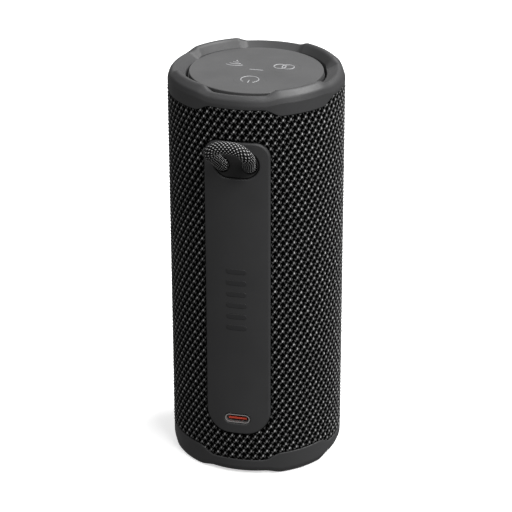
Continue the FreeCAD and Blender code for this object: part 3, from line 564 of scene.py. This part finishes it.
def rounded(corners, count=7, most=0.48):
    """The closed line past corners (x, y, rounding), each corner a curve of count points.

    A curve takes at most a share of either side, just under half.
    """
    made = []
    total = len(corners)
    for k in range(total):
        here = np.array(corners[k][:2])
        back = np.array(corners[k - 1][:2]) - here
        ahead = np.array(corners[(k + 1) % total][:2]) - here
        reach_back, reach_ahead = np.linalg.norm(back), np.linalg.norm(ahead)
        back, ahead = back / reach_back, ahead / reach_ahead
        turn = math.pi - math.acos(float(np.clip(back @ ahead, -1, 1)))
        reach = min(corners[k][2] * math.tan(turn / 2), most * reach_back, most * reach_ahead)
        start, end = here + back * reach, here + ahead * reach
        for t in np.linspace(0, 1, count):
            made.append((1 - t) ** 2 * start + 2 * t * (1 - t) * here + t * t * end)
    return np.array(made)


def bumper_points(lobe, bay, angles):
    """Sections of a bumper at many angles, as radius and depth in metres."""
    rings = []
    for angle in angles:
        depth = float(skirt_depth(angle)) / MM
        skirt = [(BUMPER_OUT, depth, 0.35), (SKIRT_IN, depth, 0.1), (SKIRT_IN, DECK / MM, 0.1)]
        high, low = rounded(lobe + skirt), rounded(bay + skirt)
        edge = np.interp(high[:, 0], END_RADII, END_ANGLES)
        soft = np.interp(high[:, 0], END_RADII, END_WIDTHS)
        weight = 1 - smooth_step(from_lobe(angle), edge - soft, edge + soft)
        rings.append(low + (high - low) * weight[:, None])
    return np.array(rings) * MM


def make_bumper(name, lobe, bay, foot):
    """A rubber ring of sections, crest up at the top of the can or crest down at its foot."""
    angles = np.radians(np.arange(0, 360, 0.5))
    rings = bumper_points(lobe, bay, angles)
    radius, depth = rings[..., 0], rings[..., 1]
    turn = angles[:, None]
    height = depth if foot else CREST - depth
    points = np.stack([radius * np.cos(turn), radius * np.sin(turn), height], axis=-1)
    faces = grid_faces(rings.shape[0], rings.shape[1], True, True)
    if not foot:
        faces = faces[:, ::-1]
    mesh = mesh_from(name, points, faces)
    replaced = [name.replace("_ring", "")]
    soften(new_object(name, mesh, "can", RUBBER, replaced), 50)


# ---------------------------------------------------------------- woven sleeve
# widths and heights in millimetres, crests and painted light from 0 to 1
COLUMN_WIDE = 1.41
STITCH = [
    # place across in columns, place up in stitches, half width, half height, lean in degrees, crest,
    # painted highlight
    (0.0, 0.0, 0.45, 0.66, 22, 1.0, 1.0),
    (0.5, 0.31, 0.72, 0.28, 28, 0.8, 0.76),
    (0.5, -0.09, 0.28, 0.70, 28, 0.65, 0.7),
]
STRANDS = [
    # side of the gap between columns that the strand comes down from, painted highlight at its crown
    (0, 0.5),
    (1, 0.58),
]
STRAND_HALF = 0.3
STRAND_CREST, STRAND_FALL, STRAND_FADE = 0.85, 0.6, 0.14
CHANCES, CHANCE_ROWS = 512, 64
SHIFT_BY_CHANCE, LEVEL_BY_CHANCE = 0.14, 0.14
STRAND_SLOPE = COLUMN_WIDE / math.hypot(COLUMN_WIDE, WEAVE_PITCH / MM / 2)


def blob(x, y, wide, tall, lean):
    """A rounded mound, 1 at its middle and 0 at its rim, whose long axis leans by an angle."""
    c, s = math.cos(lean), math.sin(lean)
    across, along = (x * c - y * s) / wide, (x * s + y * c) / tall
    return np.sqrt(np.clip(1 - across * across - along * along, 0, 1))


def weave(u, v, seed=3):
    """Height and painted light of the weave, each from 0 in its holes to 1 on its crowns: painted shade in
    the holes, a painted highlight on the crowns.

    u counts columns round the can and v counts stitches up a column; odd columns sit half a stitch
    higher. Each stitch is a crown on the column, painted bright as a highlight, a yarn that crosses to
    the next column above it and one painted dimmer that stands between the columns. From each crown
    two strands slope down to the crowns beside it.
    """
    random = np.random.default_rng(seed).random((CHANCES, CHANCES))
    height = np.zeros(np.broadcast(u, v).shape)
    painted_light = np.zeros(height.shape)
    for across, up, wide, tall, lean, crest, bright in STITCH:
        column = np.round(u - across)
        above = v - np.mod(column, 2) * 0.5 - up
        row = np.round(above)
        chance_row = np.mod(row + CHANCE_ROWS * up, CHANCES).astype(int)
        chance = random[np.mod(column, CHANCES).astype(int), chance_row]
        x = (u - across - column) * COLUMN_WIDE - SHIFT_BY_CHANCE * (chance - 0.5)
        y = (above - row) * WEAVE_PITCH / MM
        mound = blob(x, y, wide, tall, math.radians(lean))
        mound *= 1 - LEVEL_BY_CHANCE + LEVEL_BY_CHANCE * chance
        height = np.maximum(height, mound * crest)
        painted_light = np.maximum(painted_light, mound * bright)
    for side, bright in STRANDS:
        column = np.floor(u) + side
        along = np.abs(column - u)
        above = v - np.mod(column, 2) * 0.5 + 0.5 * along
        aside = (above - np.round(above)) * WEAVE_PITCH / MM * STRAND_SLOPE
        strand = np.sqrt(np.clip(1 - (aside / STRAND_HALF) ** 2, 0, 1))
        height = np.maximum(height, strand * (STRAND_CREST - STRAND_FALL * along))
        # the strand's painted highlight fades as it slopes down from the crown
        painted_light = np.maximum(painted_light, strand * (bright - STRAND_FADE * along))
    return height, painted_light


def outside_strip(x, z):
    """Distance from the strip's outline, positive outside it, for points on the -Y side."""
    centre = (STRIP_LOW + STRIP_HIGH) / 2
    corner = np.where(z > centre, STRIP_TOP_CORNER, STRIP_BOTTOM_CORNER)
    dx = np.abs(x) - (STRIP_HALF - corner)
    dz = np.abs(z - centre) - ((STRIP_HIGH - STRIP_LOW) / 2 - corner)
    outer = np.hypot(np.maximum(dx, 0), np.maximum(dz, 0))
    return outer + np.minimum(np.maximum(dx, dz), 0) - corner


def outside_key(x, z, key, bars):
    """Distance from a volume key's outline, a union of bars (half width, half height)."""
    height = middle(key, 2)
    gaps = [np.maximum(np.abs(x) - a, np.abs(z - height) - b) for a, b in bars]
    return np.minimum.reduce(gaps)


KEY_REACH, KEY_BAR = 5.5 * MM, 1.7 * MM
KEY_BARS = {
    "key_plus": [(KEY_REACH, KEY_BAR), (KEY_BAR, KEY_REACH)],
    "key_minus": [(KEY_REACH, KEY_BAR)],
}


FAR = 1.0
SLEEVE_TUCK = 0.15 * MM
HOLE_DEPTH, FLAT_RISE, CROWN_RISE = 0.75 * MM, 0.12 * MM, 0.63 * MM
# beside the pieces that cover it, the sleeve keeps the least shares of its relief and of its painted light,
# so that it is painted darker along them as shade
FADE_START, FADE_END = -0.1 * MM, 0.7 * MM
LEAST_RELIEF, LEAST_PAINTED_LIGHT = 0.25, 0.35
BURIED = -0.5 * MM


def make_sleeve():
    """The woven sleeve as real relief, tucked down along the skirts, the strip and the volume keys."""
    per_column, rows = 6, 660
    columns = WEAVE_COLUMNS * per_column
    angle = np.arange(columns) * 2 * math.pi / columns
    low = skirt_depth(angle) - SLEEVE_TUCK
    high = CREST - skirt_depth(angle) + SLEEVE_TUCK
    t = np.linspace(0, 1, rows)[:, None]
    z = low + (high - low) * t
    turn = np.broadcast_to(angle, z.shape)
    u = turn * WEAVE_COLUMNS / (2 * math.pi)
    height, painted_light = weave(u, z / WEAVE_PITCH)
    x, y = SKIN * np.cos(turn), SKIN * np.sin(turn)
    rim = np.minimum(z - low, high - z)
    strip = np.where(y < 0, outside_strip(x, z), FAR)
    key = np.full(z.shape, FAR)
    for name, bars in KEY_BARS.items():
        key = np.where(y > 0, np.minimum(key, outside_key(x, z, name, bars)), key)
    gap = np.minimum(np.minimum(rim - FADE_START, strip), key)
    fade = smooth_step(gap, FADE_START, FADE_END)
    relief = height * (LEAST_RELIEF + (1 - LEAST_RELIEF) * fade)
    radius = SKIN - HOLE_DEPTH + FLAT_RISE * fade + CROWN_RISE * relief
    points = np.stack([radius * np.cos(turn), radius * np.sin(turn), z], axis=-1)
    inside = np.minimum(strip, key) < BURIED
    # painted shade along the skirts, the strip and the volume keys: the painted light is dimmed near them
    painted_light *= LEAST_PAINTED_LIGHT + (1 - LEAST_PAINTED_LIGHT) * fade
    wide = columns // SLEEVE_PIECES
    for k in range(SLEEVE_PIECES):
        part = np.arange(k * wide, (k + 1) * wide + 1) % columns
        faces = grid_faces(rows, wide + 1)
        faces = faces[~inside[:, part].ravel()[faces].all(axis=1)]
        mesh = mesh_from(f"sleeve_weave_{k + 1}", points[:, part], faces)
        # the painted light goes into the weave attribute that colours the yarn
        store(mesh, "weave", painted_light[:, part])
        new_object(f"sleeve_weave_{k + 1}", mesh, "can", WEAVE, ["fabric_sleeve"])


# ---------------------------------------------------------------- strip
def make_strip():
    """The rubber strip, bent round the can, with openings for the loop and the port."""
    holes = [
        lambda grow: racetrack_outline(MOUTH_HALF, MOUTH_ROUND, POCKET_HEIGHT, grow),
        lambda grow: racetrack_outline(PORT_HALF, PORT_ROUND, PORT_HEIGHT, grow),
    ]
    edge, hole_edge = 0.6 * MM, 0.5 * MM
    cuts = bend_cuts(11)
    mesh = plate("strip_panel", strip_outline, holes, STRIP_OUT, STRIP_IN, edge, hole_edge, on_back, cuts)
    soften(new_object("strip_panel", mesh, "can", STRIP_RUBBER, ["rear_strip"]))


def make_grip_ridges():
    """Six low bars across the middle of the strip for a thumb."""
    half, end, pitch, count = 3.6 * MM, 0.9 * MM, 4.3 * MM, 6
    centre = 70 * MM
    start = centre - pitch * (count - 1) / 2
    top, base = STRIP_OUT + 0.16 * MM, STRIP_OUT - 0.1 * MM
    for k in range(count):
        name = f"grip_ridge_{k + 1}"
        outline = lambda grow, z=start + k * pitch: racetrack_outline(half, end, z, grow)
        mesh = plate(name, outline, [], top, base, 0.1 * MM, 0, on_back, bend_cuts(3.2))
        soften(new_object(name, mesh, "can", RIDGE_RUBBER, ()))


# ---------------------------------------------------------------- top panel
TOP_KEYS = ("power", "wireless", "link")
KEY_RADIUS = 5.63 * MM


def key_centre(name):
    return middle("key_" + name, 0), middle("key_" + name, 1)


def make_top_disc():
    """The top disc, with holes for its keys and its status light."""
    key_gap, light_gap = 0.02 * MM, 0.03 * MM
    key_hole = KEY_RADIUS + key_gap
    light_hole = LIGHT_HALF + light_gap, LIGHT_DEEP + light_gap
    holes = [lambda grow, c=key_centre(n): circle_outline(c, key_hole, grow) for n in TOP_KEYS]
    holes.append(lambda grow: box_outline(*light_hole, (0, 0), grow))
    outer = lambda grow: circle_outline((0, 0), DISC_RADIUS, grow, 192)
    mesh = plate("top_panel", outer, holes, DISC_HIGH, DISC_LOW, 0.3 * MM, 0, flat_up)
    soften(new_object("top_panel", mesh, "can", DISC_RUBBER, ["top_disc"]))


def make_top_keys():
    """The three round key zones, level with the disc."""
    for name in TOP_KEYS:
        outer = lambda grow, c=key_centre(name): circle_outline(c, KEY_RADIUS, grow)
        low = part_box("key_" + name)[1].z - 1.1 * MM
        mesh = plate(f"{name}_cap", outer, [], DISC_HIGH, low, 0, 0, flat_up)
        soften(new_object(f"{name}_cap", mesh, f"{name}_key", DISC_RUBBER, ["key_" + name]))


def stroke(name, body, lines, thick, height):
    """Thin raised lines on a key, each a list of points in the key's plane."""
    curve = bpy.data.curves.new(name, "CURVE")
    curve.dimensions = "3D"
    curve.bevel_depth = thick / 2
    curve.bevel_resolution = 2
    for line in lines:
        spline = curve.splines.new("POLY")
        spline.points.add(len(line) - 1)
        for point, (x, y) in zip(spline.points, line):
            point.co = (x, y, height, 1)
    holder = bpy.data.objects.new(name + "_line", curve)
    bpy.context.scene.collection.objects.link(holder)
    mesh = bpy.data.meshes.new_from_object(holder)
    bpy.data.objects.remove(holder)
    new_object(name, mesh, body, ICON_PAINT, ())


def make_icons():
    """Plain signs on the top keys: ring and bar, fan of arcs, two linked rings."""
    thick, height = 0.42 * MM, DISC_HIGH - 0.08 * MM
    x, y = key_centre("power")
    ring = arc_points((x, y), 3.1 * MM, -60, 240, 40)
    bar = [(x, y - 3.6 * MM), (x, y - 0.9 * MM)]
    stroke("power_icon", "power_key", [ring, bar], thick, height)
    x, y = key_centre("wireless")
    foot = (x, y + 2.6 * MM)
    arcs = [arc_points(foot, r * MM, 235, 305, 16) for r in (1.7, 3.4, 5.1)]
    dot = arc_points(foot, 0.15 * MM, 0, 360, 9)
    stroke("wireless_icon", "wireless_key", arcs + [dot], thick, height)
    x, y = key_centre("link")
    rings = [arc_points((x + side * 1.45 * MM, y), 2.1 * MM, 0, 360, 41) for side in (-1, 1)]
    stroke("link_icon", "link_key", rings, thick, height)


def make_volume_keys():
    """The plus and minus keys on the can's +Y side."""
    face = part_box("key_plus")[1].y
    base = 26.6 * MM
    for name, body in (("key_plus", "plus_key"), ("key_minus", "minus_key")):
        centre = (0, middle(name, 2))
        if name == "key_plus":
            outer = lambda grow, c=centre: cross_outline(KEY_REACH, KEY_BAR, c, grow)
        else:
            outer = lambda grow, c=centre: box_outline(KEY_REACH, KEY_BAR, c, grow)
        mesh = plate(name + "_cap", outer, [], face, base, 0.4 * MM, 0, on_front, bend_cuts(5.2))
        soften(new_object(name + "_cap", mesh, body, RUBBER, [name]))


# ---------------------------------------------------------------- cord loop
HALF_LOOP = [
    # corners of half the loop's centre line in millimetres: across, out, up; the same as the solid's
    (2.9, 24.9, 117.6),
    (4.7, 28.2, 118.9),
    (4.7, 32.6, 120.8),
    (6.0, 36.2, 124.5),
    (6.6, 42.3, 128.2),
    (3.5, 42.8, 131.0),
]


def loop_line():
    """Points along the smooth line of the loop, read from its NURBS spline."""
    start = (0.0, *HALF_LOOP[0][1:])
    corners = [start, *HALF_LOOP, *[(-x, out, up) for x, out, up in reversed(HALF_LOOP)], start]
    curve = bpy.data.curves.new("loop_line", "CURVE")
    curve.dimensions = "3D"
    curve.resolution_u = 40
    spline = curve.splines.new("NURBS")
    spline.points.add(len(corners) - 1)
    for point, (x, out, up) in zip(spline.points, corners):
        point.co = (x * MM, -out * MM, up * MM, 1)
    spline.order_u = 3
    spline.use_endpoint_u = True
    holder = bpy.data.objects.new("loop_line", curve)
    mesh = bpy.data.meshes.new_from_object(holder)
    line = np.array([v.co for v in mesh.vertices])
    bpy.data.objects.remove(holder)
    bpy.data.meshes.remove(mesh)
    return line


def even_line(line, step):
    """The same line with points an even distance apart, and its length."""
    lengths = np.concatenate([[0], np.cumsum(np.linalg.norm(np.diff(line, axis=0), axis=1))])
    count = int(lengths[-1] / step) + 1
    places = np.linspace(0, lengths[-1], count)
    return np.stack([np.interp(places, lengths, line[:, k]) for k in range(3)], axis=-1), lengths[-1]


def carried_frames(line):
    """A direction across the line at each point, carried along it without twist."""
    ahead = np.gradient(line, axis=0)
    ahead /= np.linalg.norm(ahead, axis=1)[:, None]
    across = [np.array((0.0, 0.0, 1.0))]
    for k in range(1, len(line)):
        side = across[-1] - ahead[k] * (across[-1] @ ahead[k])
        across.append(side / np.linalg.norm(side))
    across = np.array(across)
    return across, np.cross(ahead, across)


# widths and heights in millimetres, the lean in degrees
BRAID_COLUMNS = 18
BRAID_WIDE, BRAID_PITCH = 0.733, 1.2
THREAD_HALF, THREAD_TALL, THREAD_LEAN = 0.3, 0.42, 20
GROOVE_DEPTH, THREAD_RISE = 0.25, 0.3
LINE_STEP = 0.11


def braid(u, v):
    """Height of the braid, 0 to 1: one leaning thread per column and pitch, odd columns half a pitch on."""
    column = np.round(u)
    lift = np.mod(column, 2) * 0.5
    x = (u - column) * BRAID_WIDE
    y = (v - lift - np.round(v - lift)) * BRAID_PITCH
    return blob(x, y, THREAD_HALF, THREAD_TALL, math.radians(THREAD_LEAN))


def make_loop():
    """The braided loop: a tube of real relief along its closed line."""
    line, length = even_line(loop_line(), LINE_STEP * MM)
    across, beside = carried_frames(line)
    around = 6 * BRAID_COLUMNS
    turn = np.arange(around) * 2 * math.pi / around
    places = np.linspace(0, length, len(line))
    u = turn[None, :] * BRAID_COLUMNS / (2 * math.pi)
    v = places[:, None] / (BRAID_PITCH * MM)
    height = braid(u, v)
    radius = CORD_RADIUS + (THREAD_RISE * height - GROOVE_DEPTH) * MM
    cosine, sine = (radius * np.cos(turn))[..., None], (radius * np.sin(turn))[..., None]
    points = line[:, None, :] + cosine * across[:, None, :] + sine * beside[:, None, :]
    faces = grid_faces(len(line), around, False, True)
    mesh = mesh_from("loop_braid", points, faces)
    # the braid's height, stored for the painted highlight and shade of its threads
    store(mesh, "weave", height)
    piece = new_object("loop_braid", mesh, "loop", BRAID, ["carry_loop"])


# ---------------------------------------------------------------- stage and light
def make_stage():
    """A white floor that casts no light back onto the object."""
    floor_look = Look("floor", (0.9, 0.9, 0.9), 0.8, specular=0.1)
    floor_look.set("Emission Color", (1, 1, 1, 1))
    floor_look.set("Emission Strength", 0.55)
    bpy.ops.mesh.primitive_plane_add(size=6)
    floor = bpy.context.object
    floor.name = "floor"
    floor.data.materials.append(floor_look.material)
    floor.visible_diffuse = False
    floor.visible_glossy = False


LAMPS = [
    # name, place, aim, size, watts
    ("overhead", (0.5, 0.22, 1.05), (0, 0, 0.1), (0.6, 0.6), 17),
    ("key", (0.6, -0.6, 0.95), (0, 0, 0.1), (0.4, 0.4), 7),
    ("right", (1.1, -0.5, 0.4), (0, 0, 0.08), (0.4, 0.8), 3.3),
    ("behind", (-0.4, 1.2, 0.7), (0, 0, 0.1), (1.0, 0.5), 2),
    ("left", (-0.7, -0.7, 1.1), (0, 0, 0.1), (0.5, 0.5), 3.5),
]


def area_light(name, place, aim, size, watts):
    data = bpy.data.lights.new(name, "AREA")
    data.shape = "RECTANGLE"
    data.size, data.size_y = size
    data.energy = watts
    lamp = bpy.data.objects.new(name, data)
    bpy.context.scene.collection.objects.link(lamp)
    lamp.location = place
    lamp.rotation_mode = "QUATERNION"
    lamp.rotation_quaternion = (Vector(aim) - Vector(place)).to_track_quat("-Z", "Y")


def make_sky():
    """White where the camera sees it and dim where it lights the object."""
    world = bpy.data.worlds.new("studio")
    bpy.context.scene.world = world
    world.use_nodes = True
    tree = world.node_tree
    sky = tree.nodes["Background"]
    sky.inputs["Color"].default_value = (1, 1, 1, 1)
    sky.inputs["Strength"].default_value = 0.18
    white = tree.nodes.new("ShaderNodeBackground")
    white.inputs["Strength"].default_value = 1.0
    path = tree.nodes.new("ShaderNodeLightPath")
    mix = tree.nodes.new("ShaderNodeMixShader")
    tree.links.new(path.outputs["Is Camera Ray"], mix.inputs["Fac"])
    tree.links.new(sky.outputs["Background"], mix.inputs[1])
    tree.links.new(white.outputs["Background"], mix.inputs[2])
    tree.links.new(mix.outputs["Shader"], tree.nodes["World Output"].inputs["Surface"])


def make_light():
    make_sky()
    for lamp in LAMPS:
        area_light(*lamp)
    bpy.context.scene.view_settings.view_transform = "Standard"


make_camera()
make_loop()
dress_frame()
make_bumper("top_bumper_ring", TOP_LOBE, TOP_BAY, False)
make_bumper("bottom_bumper_ring", FOOT_LOBE, FOOT_BAY, True)
make_sleeve()
make_strip()
make_grip_ridges()
make_top_disc()
make_top_keys()
make_icons()
make_volume_keys()
make_stage()
make_light()
